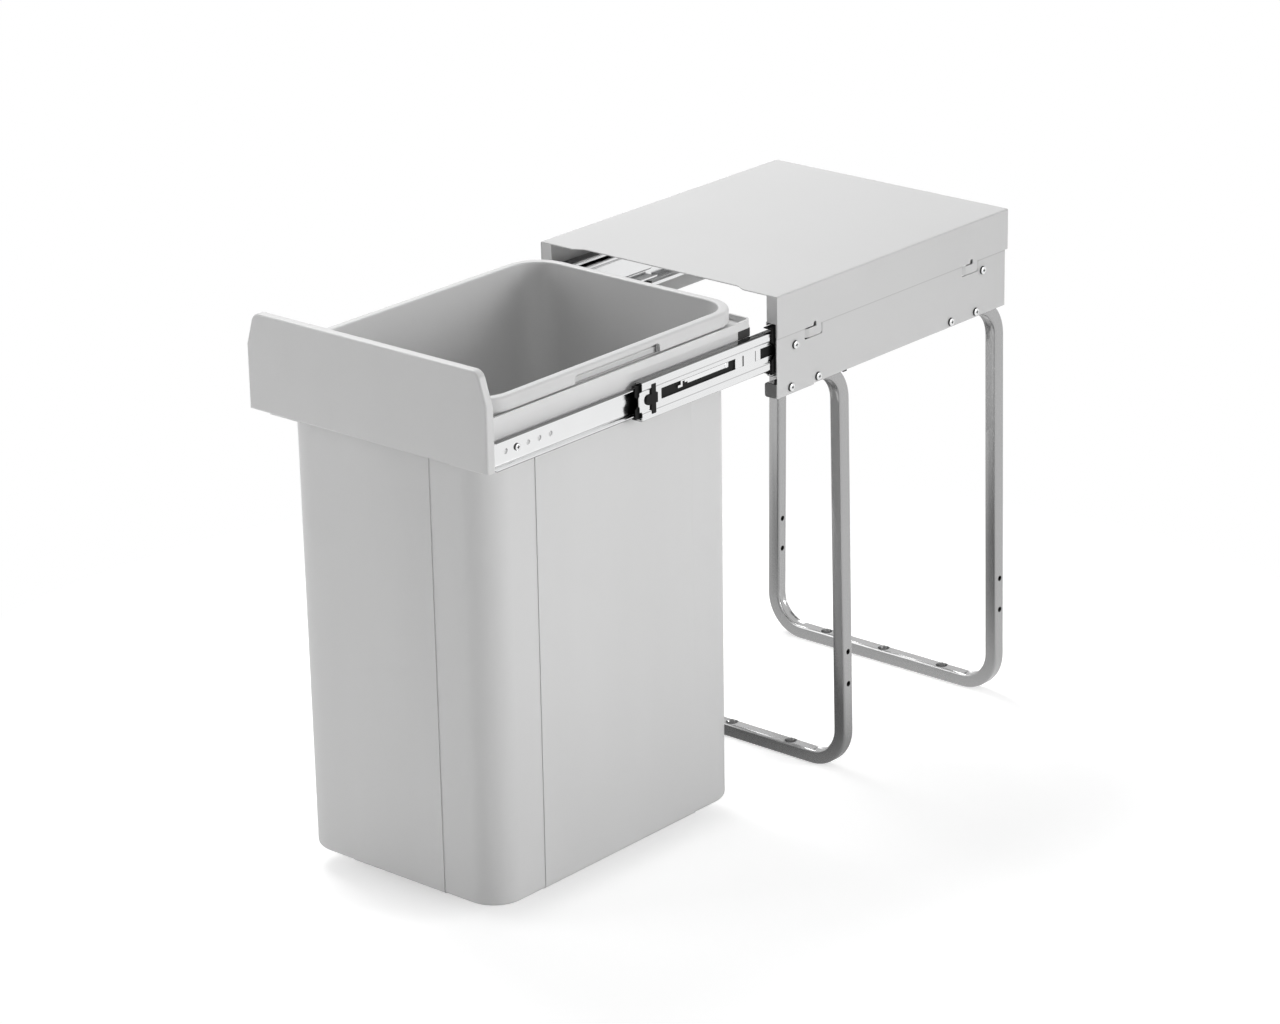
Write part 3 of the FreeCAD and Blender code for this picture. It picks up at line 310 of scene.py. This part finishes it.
def powder_coat(name, level, edge_shade_at=None):
    """Powder coat on sheet steel: matt, with an orange peel of a millimetre or two and a finer grit.

    The last argument is the height of a thin dark line of painted shade: the shadow under another sheet's
    edge.
    """
    finish = Finish(bpy.data.materials.new(name))
    place = object_place(finish)
    peel = cloud(finish, place, scale=620.0)
    grit = cloud(finish, place, scale=3400.0, detail=1.0)
    patches = cloud(finish, place, scale=7.0, detail=4.0)
    tint = mottled(finish, mixed(patches, grit, share=0.3), level)
    # Painted shade: a thin dark line just below the cover's edge.
    if edge_shade_at:
        away = abs(coordinate(finish, place, "Z") - edge_shade_at)
        line = (1 - away / edge_shade_half).above(0) * (edge_shade_strength + (1 - edge_shade_strength) * peel)
        tint = blend(finish, line, tint, grey(edge_shade_level))
    roughness = coat_roughness + coat_unevenness * patches
    return surface(finish, tint, roughness, mixed(peel, grit, share=0.25), coat_bump)


def dressed(node, material, edge, segments=2, angle=28, shape=None):
    """A merged copy of a CAD node that stands for it.

    edge is the width of the hair-thin round on every edge sharper than angle, and shape is a function
    that shapes the merged mesh further.
    """
    mesh = bmesh.new()
    mesh.from_mesh(nodes[node].data)
    bmesh.ops.remove_doubles(mesh, verts=mesh.verts, dist=weld_distance)
    bmesh.ops.dissolve_limit(mesh, angle_limit=flat_angle, verts=mesh.verts, edges=mesh.edges)
    if shape:
        shape(mesh)
    data = bpy.data.meshes.new(node + "_shell")
    mesh.to_mesh(data)
    mesh.free()
    data.materials.clear()
    data.materials.append(material)
    data.shade_smooth()
    data.set_sharp_from_angle(angle=math.radians(angle))
    piece = bpy.data.objects.new(node + "_shell", data)
    bpy.context.scene.collection.objects.link(piece)
    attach(piece, nodes[node]["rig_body"])
    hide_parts(node)
    if edge:
        bevel = piece.modifiers.new("edges", "BEVEL")
        bevel.width = edge
        bevel.segments = segments
        bevel.limit_method = "ANGLE"
        bevel.angle_limit = math.radians(angle)
        bevel.harden_normals = True
        bevel.use_clamp_overlap = True


cover_coat = powder_coat("cover_coat", cover_level)
side_coat = powder_coat("side_coat", panel_level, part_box("cover")[1][2] - cover_depth - edge_shade_gap)
dressed("cover", cover_coat, coat_edge)
for node in ("side_panel_left", "side_panel_right"):
    dressed(node, side_coat, coat_edge)


# Leg frames: square steel tube bent to a U, with its upper ends bent forward under the slides.
# The mandrel left a pressed hollow along the inside of each bend. The paint is a smooth silver.

tube_level = 174
tube_side = 12 * mm
leg_splay = math.radians(0.7)
foot_inner = 25 * mm
elbow_inner = 24.5 * mm
quarter = math.pi / 2
hollow_depth = 1.7 * mm
hollow_half = 4.4 * mm
hollow_lead = math.radians(9)
hollow_steps = 12
hollow_lines = (-0.8, -0.45, 0.0, 0.45, 0.8)
hollow_fullness = 0.6
inside_skin = 0.6 * mm
bend_search = 60 * mm
cut_distance = 1e-7
paint_roughness = 0.2
paint_unevenness = 0.03
flake_unevenness = 0.02
paint_bump = 0.0008 * mm


def silver_paint(name, level):
    """Metallic paint: fine flakes in a smooth film that mirrors what stands near."""
    finish = Finish(bpy.data.materials.new(name))
    place = object_place(finish)
    flakes = cloud(finish, place, scale=5200.0, detail=1.0)
    patches = cloud(finish, place, scale=16.0)
    drawn = cloud(finish, stretched(finish, place, stretch=(1.0, 1.0, 0.04)), scale=900.0, detail=2.0)
    tint = mottled(finish, mixed(patches, flakes, share=0.4), level)
    roughness = paint_roughness + paint_unevenness * patches + flake_unevenness * flakes
    return surface(finish, tint, roughness, mixed(drawn, flakes, share=0.4), paint_bump, metallic=0.95)


def cut(mesh, faces, point, normal):
    """Cuts faces along a plane and gives back the faces on both sides of it."""
    edges = dict.fromkeys(edge for face in faces for edge in face.edges)
    corners = dict.fromkeys(corner for face in faces for corner in face.verts)
    geometry = [*faces, *edges, *corners]
    made = bmesh.ops.bisect_plane(mesh, geom=geometry, plane_co=point, plane_no=normal, dist=cut_distance)
    return [piece for piece in made["geom"] if isinstance(piece, bmesh.types.BMFace)]


def pressed_bend(mesh, centre, inner, start, axis, side):
    """Presses a hollow into the inside of a quarter bend.

    centre is on the bend's axis, inner is the radius of the tube's inside, start is the way from the
    centre to where the bend begins, axis is the bend's own axis and side the turn's sense.
    """
    cross = Vector(axis)
    first = Vector(start)
    low, high = -hollow_lead, quarter + hollow_lead
    search = inner + tube_side + bend_search
    faces = [face for face in mesh.faces if (face.calc_center_median() - centre).length < search]
    for i in range(hollow_steps + 1):
        angle = low + (high - low) * i / hollow_steps
        faces = cut(mesh, faces, centre, cross.cross(Matrix.Rotation(side * angle, 4, cross) @ first))
    for share in hollow_lines:
        faces = cut(mesh, faces, centre + cross * (share * hollow_half), cross)
    for vertex in {corner for face in faces for corner in face.verts}:
        arm = vertex.co - centre
        across = arm.dot(cross)
        flat = arm - cross * across
        along = math.atan2(side * cross.dot(first.cross(flat)), first.dot(flat))
        if not low < along < high or abs(across) > hollow_half:
            continue
        over = max(-along, along - quarter, 0)
        if abs(flat.length * math.cos(over) - inner) > inside_skin:
            continue
        swell = math.sin(math.pi * (along - low) / (high - low)) ** hollow_fullness
        depth = hollow_depth * swell * (1 - (across / hollow_half) ** 2)
        vertex.co += flat.normalized() * depth


def pressed_bends(node):
    """Gives a function that presses all four bends of a leg frame, placed from the frame's own box."""
    low, high = (Vector(corner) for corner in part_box(node))
    depth_middle = high.y - tube_side / 2
    foot_z = tube_side + foot_inner
    elbow_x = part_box("tube_end_plugs")[1][0] - tube_side / 2
    elbow_y = high.y - tube_side - elbow_inner
    elbow_z = high.z - tube_side - elbow_inner

    def press(mesh):
        for sign in (-1, 1):
            outside_x = high.x if sign > 0 else low.x
            foot = Vector((outside_x - sign * (tube_side + foot_inner), depth_middle, foot_z))
            pressed_bend(mesh, foot, foot_inner, start=(0, 0, -1), axis=(0, 1, 0), side=-sign)
            elbow = Vector((sign * elbow_x, elbow_y, elbow_z))
            lean = (math.cos(leg_splay), 0, sign * math.sin(leg_splay))
            pressed_bend(mesh, elbow, elbow_inner, start=(0, 1, 0), axis=lean, side=1)

    return press


tube_paint = silver_paint("tube_silver", tube_level)
for node in ("leg_frame_front", "leg_frame_rear"):
    dressed(node, tube_paint, edge=0, angle=35, shape=pressed_bends(node))


# Small mouldings on the housing: plugs in the open tube ends, rubber clips on the panels' edges, and the
# buffers in the rear ends of the outer slide members. They are plain plastic with a low sheen.

plug_level = 112
black_level = 22
moulding_unevenness = 0.08
moulding_bump = 0.01 * mm


def moulding(name, level, roughness, grain=2600.0, specular=0.5):
    """A plain moulding: an even colour, faint flow marks and a fine eroded grain."""
    finish = Finish(bpy.data.materials.new(name))
    place = object_place(finish)
    flow = cloud(finish, stretched(finish, place, stretch=(1.0, 1.0, 0.25)), scale=14.0, detail=4.0)
    fine = cloud(finish, place, scale=grain, detail=2.0)
    tint = mottled(finish, mixed(flow, fine, share=0.2), level)
    sheen = roughness - moulding_unevenness / 2 + moulding_unevenness * flow
    return surface(finish, tint, sheen, fine, moulding_bump, specular=specular)


plug_plastic = moulding("plug_grey", plug_level, roughness=0.4)
black_plastic = moulding("black_moulding", black_level, roughness=0.5, specular=0.12)
dressed("tube_end_plugs", plug_plastic, edge=0.5 * mm, segments=3)
dressed("panel_edge_clips", black_plastic, edge=0.15 * mm)
for side in ("left", "right"):
    dressed("slide_end_stop_" + side, black_plastic, edge=0.3 * mm)


# Ball slides: three members rolled from steel strip and zinc plated, bright and faintly streaked along
# the rolling. Each pair of members runs on two rows of steel balls in a black plastic cage. The members'
# bends carry thin lines of painted shade, and the flanges that the balls run on are darker.

zinc_level = 234
catch_level = 239
ball_level = 222
zinc_warmth = -0.004
zinc_roughness = 0.12
ball_roughness = 0.03
zinc_unevenness = 0.03
zinc_bump = 0.001 * mm
even = (1.0, 1.0, 1.0)
along_slide = (1.0, 0.02, 1.0)
along_catch = (1.0, 0.3, 0.3)
slide_span = [corner[2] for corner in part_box("slide_middle_right")]
slide_z = sum(slide_span) / 2
# Thin lines of painted shade in the bends, and darker flanges where the balls run:
bend_shade_level = 150
bend_shade_half = 0.55 * mm
bend_shade_strength = 0.55
bend_height = 9.4 * mm
track_level = 96
track_fade = 0.5 * mm
track_depth = 0.8 * mm
track_strength = 0.8
# Painted shade in the screws' cross recesses and round the feet of their heads:
recess_shade_level = 70
recess_from = 0.35 * mm
recess_fade = 0.3 * mm


def zinc_plate(name, level, roughness, streak, bends=None, track=None, face=None):
    """Bright zinc on rolled steel: streaks along the strip, and a faint mottle of the plating.

    bends is how far above and below the slide's middle a thin dark line of painted shade runs in a bend,
    and track how far from it the darker flanges end. face is how far out a screw's head reaches: what lies
    deeper, its recess and its foot, is darkened with painted shade.
    """
    finish = Finish(bpy.data.materials.new(name))
    place = object_place(finish)
    rolled = cloud(finish, stretched(finish, place, streak), scale=1100.0)
    mottle = cloud(finish, place, scale=85.0)
    tint = mottled(finish, mixed(mottle, rolled, share=0.4), level, zinc_warmth)
    if bends:
        # Painted shade: a thin dark line in each bend of the strip.
        from_middle = abs(coordinate(finish, place, "Z") - slide_z)
        line = (1 - abs(from_middle - bends) / bend_shade_half).above(0)
        line *= bend_shade_strength + (1 - bend_shade_strength) * mottle
        tint = blend(finish, line, tint, grey(bend_shade_level))
        # The flanges that the balls run on are darker.
        darker_track = ((from_middle - track + track_depth) / track_fade).clipped()
        darker_track *= track_strength + (1 - track_strength) * rolled
        tint = blend(finish, darker_track, tint, grey(track_level))
    if face:
        # Painted shade: what lies deeper than the head's face, its recess and its foot, is darker.
        deep = ((face - recess_from - abs(coordinate(finish, place, "X"))) / recess_fade).clipped()
        tint = blend(finish, deep, tint, grey(recess_shade_level))
    sheen = roughness + zinc_unevenness * mottle + zinc_unevenness * rolled
    return surface(finish, tint, sheen, rolled, zinc_bump, metallic=1.0)


for member in ("slide_outer_", "slide_middle_", "slide_drawer_"):
    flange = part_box(member + "right")[1][2] - slide_z
    strip_zinc = zinc_plate(member + "zinc", zinc_level, zinc_roughness, along_slide, bend_height, flange)
    for side in ("left", "right"):
        dressed(member + side, strip_zinc, edge=0.18 * mm)
catch_zinc = zinc_plate("catch_zinc", catch_level, zinc_roughness, along_catch)
bearing_steel = zinc_plate("bearing_steel", ball_level, ball_roughness, even)
for side in ("left", "right"):
    dressed("slide_catch_" + side, catch_zinc, edge=0.2 * mm, segments=3)
    dressed("slide_catch_pin_" + side, catch_zinc, edge=0.12 * mm)
    dressed("slide_front_insert_" + side, black_plastic, edge=0.25 * mm, segments=3)
    for cage in ("outer_cage_", "inner_cage_"):
        dressed(cage + side, black_plastic, edge=0.12 * mm)
    for balls in ("outer_balls_", "inner_balls_"):
        dressed(balls + side, bearing_steel, edge=0)


# Screws: pan heads with a cross recess, bright zinc, through the side panels, the drawer members and the
# tray's front wall.

screw_level = 232
screw_roughness = 0.2

# Each head's recess and foot carry painted shade.
for node in ("slide_screws", "leg_screws", "tray_screws", "front_panel_screws"):
    reach = None if node == "front_panel_screws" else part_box(node)[1][0]
    screw_finish = zinc_plate(node + "_zinc", screw_level, screw_roughness, even, face=reach)
    dressed(node, screw_finish, edge=0.1 * mm, angle=40)


# Tray: a light grey moulded ring that the bin hangs in, screwed between the drawer members, with dark
# pads on its side walls' rear ends.

tray_level = 213
pad_level = 58

tray_plastic = moulding("tray_grey", tray_level, roughness=0.44)
dressed("tray_frame", tray_plastic, edge=0.45 * mm, segments=3)
pad_plastic = moulding("pad_dark", pad_level, roughness=0.5, specular=0.2)
dressed("tray_rail_pads", pad_plastic, edge=0.15 * mm)


# Front panel: a thick moulded plate screwed to the tray. Its edges are softly rounded, and the place of
# the mark on its face is left bare.

plastic_level = 204

panel_plastic = moulding("panel_grey", plastic_level, roughness=0.4, grain=1900.0)
dressed("front_panel", panel_plastic, edge=0.5 * mm, segments=3)


# Bin: a deep drafted moulding with proud fields on its four walls and a rolled rim with two hand grips.
# It hangs in the tray by its rim, and is of the front panel's plastic with a finer grain.

bin_plastic = moulding("bin_grey", plastic_level, roughness=0.42)
dressed("bin", bin_plastic, edge=0.35 * mm, segments=3)
